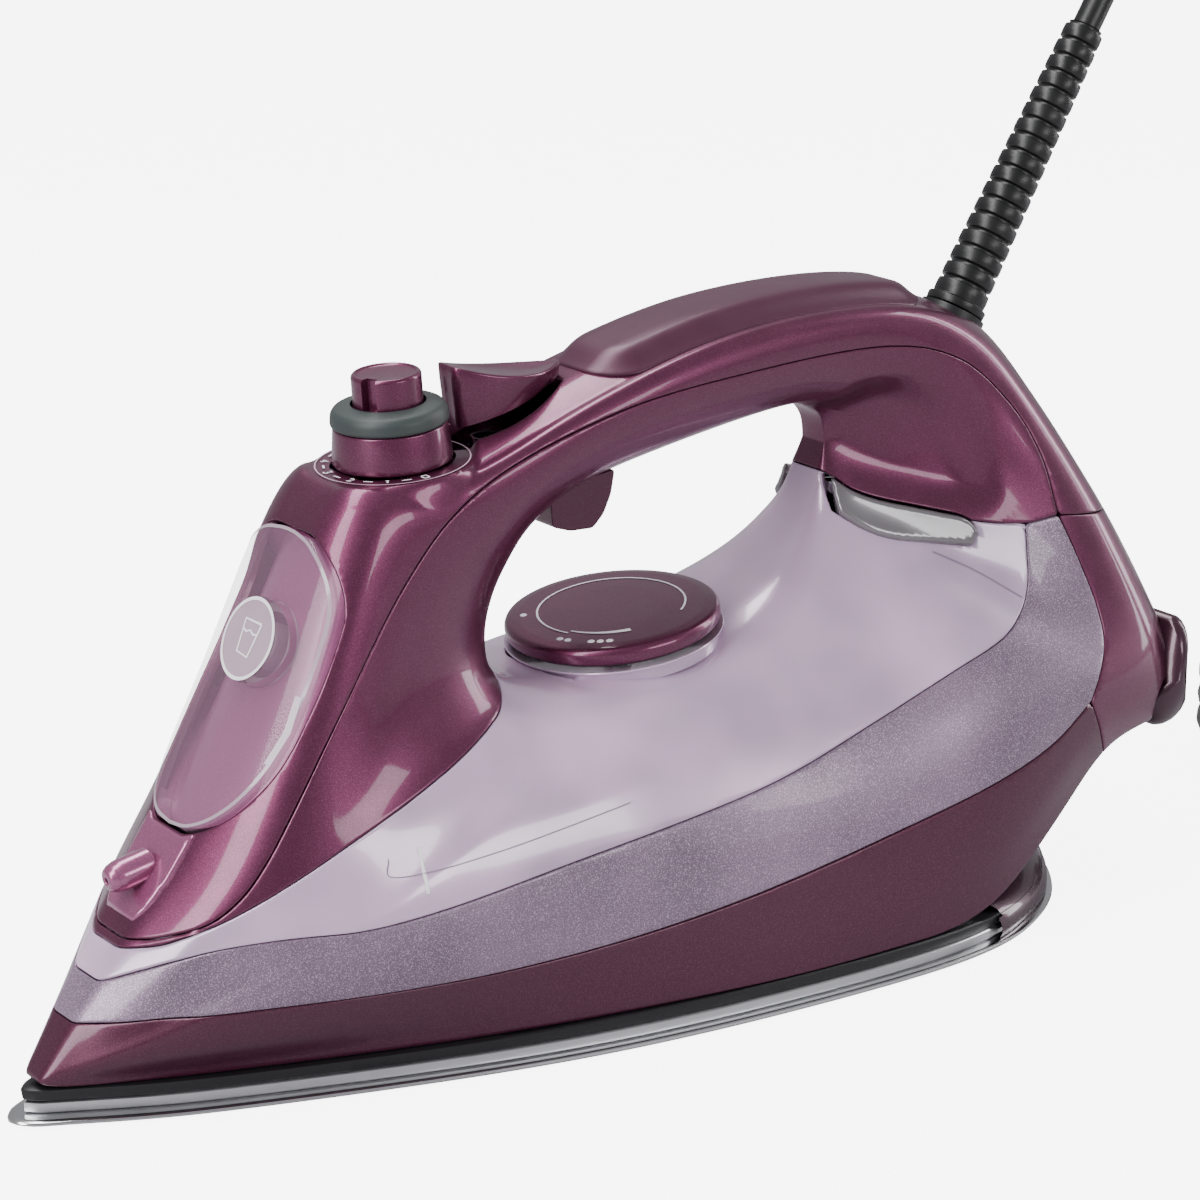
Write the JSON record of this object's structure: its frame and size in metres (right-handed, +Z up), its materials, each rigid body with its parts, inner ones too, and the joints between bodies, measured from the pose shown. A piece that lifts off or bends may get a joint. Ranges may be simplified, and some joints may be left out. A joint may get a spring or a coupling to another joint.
{
  "type": "steam iron",
  "caption": "Steam iron with a boat-shaped soleplate, clear water tank, looped handle, temperature dial, steam knob, spray button, steam trigger and a coiled mains cord.",
  "frame": {"origin": "on the soleplate's flat lower face, in the middle plane, 158 mm behind the soleplate's tip", "axes": "+Z up from the ironed cloth, -X towards the pointed tip, +Y to the iron's right side"},
  "size_m": [0.4766, 0.124, 0.2517],
  "materials": {
    "polished_sole": "polished",
    "cast_aluminium": "satin cast",
    "black_plastic": "matt",
    "dark_plum": "metallic gloss",
    "speckled_lilac": "fine metallic speckle",
    "tank_lilac": "translucent gloss",
    "plum": "metallic gloss",
    "soft_plum": "soft touch",
    "smoke_lens": "smoked gloss",
    "rose": "metallic gloss",
    "smoke_clear": "smoked clear",
    "steel": "plain",
    "brass": "plain",
    "grey_rubber": "matt rubber",
    "white_plastic": "matt",
    "lamp": "clear lamp",
    "wire": "sleeved wire",
    "black_rubber": "satin rubber"
  },
  "bodies": {
    "housing": {"soleplate": "polished_sole", "heating_block": "cast_aluminium", "heating_element": "polished_sole", "steam_chamber_cover": "cast_aluminium", "heat_shield": "black_plastic", "base_skirt": "dark_plum", "tank_band": "speckled_lilac", "water_tank": "tank_lilac", "tank_liner": "tank_lilac", "inner_shell": "plum", "spine_shell": "plum", "heel_cover": "plum", "heel_foot": "dark_plum", "handle_pad": "soft_plum", "indicator_lens": "smoke_lens", "dial_seat": "tank_lilac", "nozzle_pad": "rose", "spray_nozzle": "rose", "filler_recess": "rose", "thermostat": "brass", "valve_seat": "brass", "spray_pump": "black_plastic", "spray_spring": "steel", "trigger_pin": "steel", "boost_pump": "black_plastic", "boost_spring": "steel", "terminal_block": "white_plastic", "thermal_fuse": "black_plastic", "indicator_lamp": "lamp", "screws": "steel", "wires": "wire", "cord_bushing": "black_plastic", "cord_guard": "black_rubber", "cord": "black_rubber", "cord_coil": "black_rubber", "coil_tie": "black_plastic", "plug_body": "black_rubber", "plug_pins": "brass"},
    "temperature_dial": {"temperature_dial": "plum", "dial_shaft": "steel"},
    "steam_knob": {"knob_base": "plum", "knob_grip": "grey_rubber", "valve_stem": "steel"},
    "clean_cap": {"knob_cap": "plum"},
    "spray_button": {"spray_button": "plum"},
    "steam_trigger": {"steam_trigger": "dark_plum"},
    "filler_door": {"filler_door": "smoke_clear", "door_plug": "rose"}
  },
  "joints": [
    {"name": "dial_turn", "type": "hinge", "parent": "housing", "child": "temperature_dial", "pos_m": [0.0037, 0, 0.0862], "axis": [-0.1219, 0, 0.9925], "range_deg": [-60, 210]},
    {"name": "knob_turn", "type": "hinge", "parent": "housing", "child": "steam_knob", "pos_m": [-0.0578, 0, 0.1519], "axis": [-0.0698, 0, 0.9976], "range_deg": [0, 150]},
    {"name": "cap_lift", "type": "slide", "parent": "steam_knob", "child": "clean_cap", "axis": [-0.0698, 0, 0.9976], "range_m": [0, 0.004]},
    {"name": "spray_press", "type": "slide", "parent": "housing", "child": "spray_button", "axis": [0, 0, -1], "range_m": [0, 0.003], "stiffness_N_per_m": 600, "springref_m": -0.001, "deforming": ["spray_spring"]},
    {"name": "trigger_pull", "type": "hinge", "parent": "housing", "child": "steam_trigger", "pos_m": [-0.022, 0, 0.121], "axis": [0, -1, 0], "range_deg": [0, 6], "stiffness_Nm_per_rad": 0.3, "springref_deg": -5.73, "deforming": ["boost_spring"]},
    {"name": "door_open", "type": "hinge", "parent": "housing", "child": "filler_door", "pos_m": [-0.08536, 0, 0.12128], "axis": [0, 1, 0], "range_deg": [0, 65]}
  ]
}
